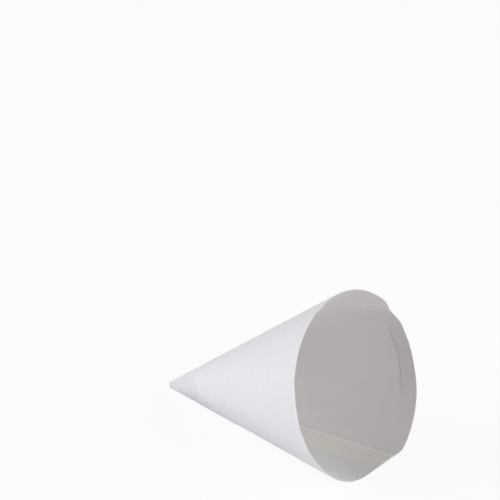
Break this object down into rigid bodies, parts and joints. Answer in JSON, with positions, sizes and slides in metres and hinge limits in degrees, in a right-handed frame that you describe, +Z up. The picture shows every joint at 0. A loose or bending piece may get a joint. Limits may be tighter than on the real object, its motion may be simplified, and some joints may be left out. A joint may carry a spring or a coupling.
{
  "type": "cone paper cup",
  "caption": "Small cone-shaped drinking cup rolled from one sheet of thin white paper, lying on its side with the open mouth to the front.",
  "frame": {"origin": "on the surface the cup lies on, under the middle of its length and width", "axes": "+X runs along the cup from its closed point to its mouth, +Z is up, and the cup rests on the pressed flat of its wall"},
  "size_m": [0.0988, 0.07, 0.0632],
  "materials": {
    "paper": "matt uncoated white paper, slightly fuzzy, faintly see-through"
  },
  "bodies": {
    "root": {"paper_cone": "paper"}
  },
  "joints": []
}
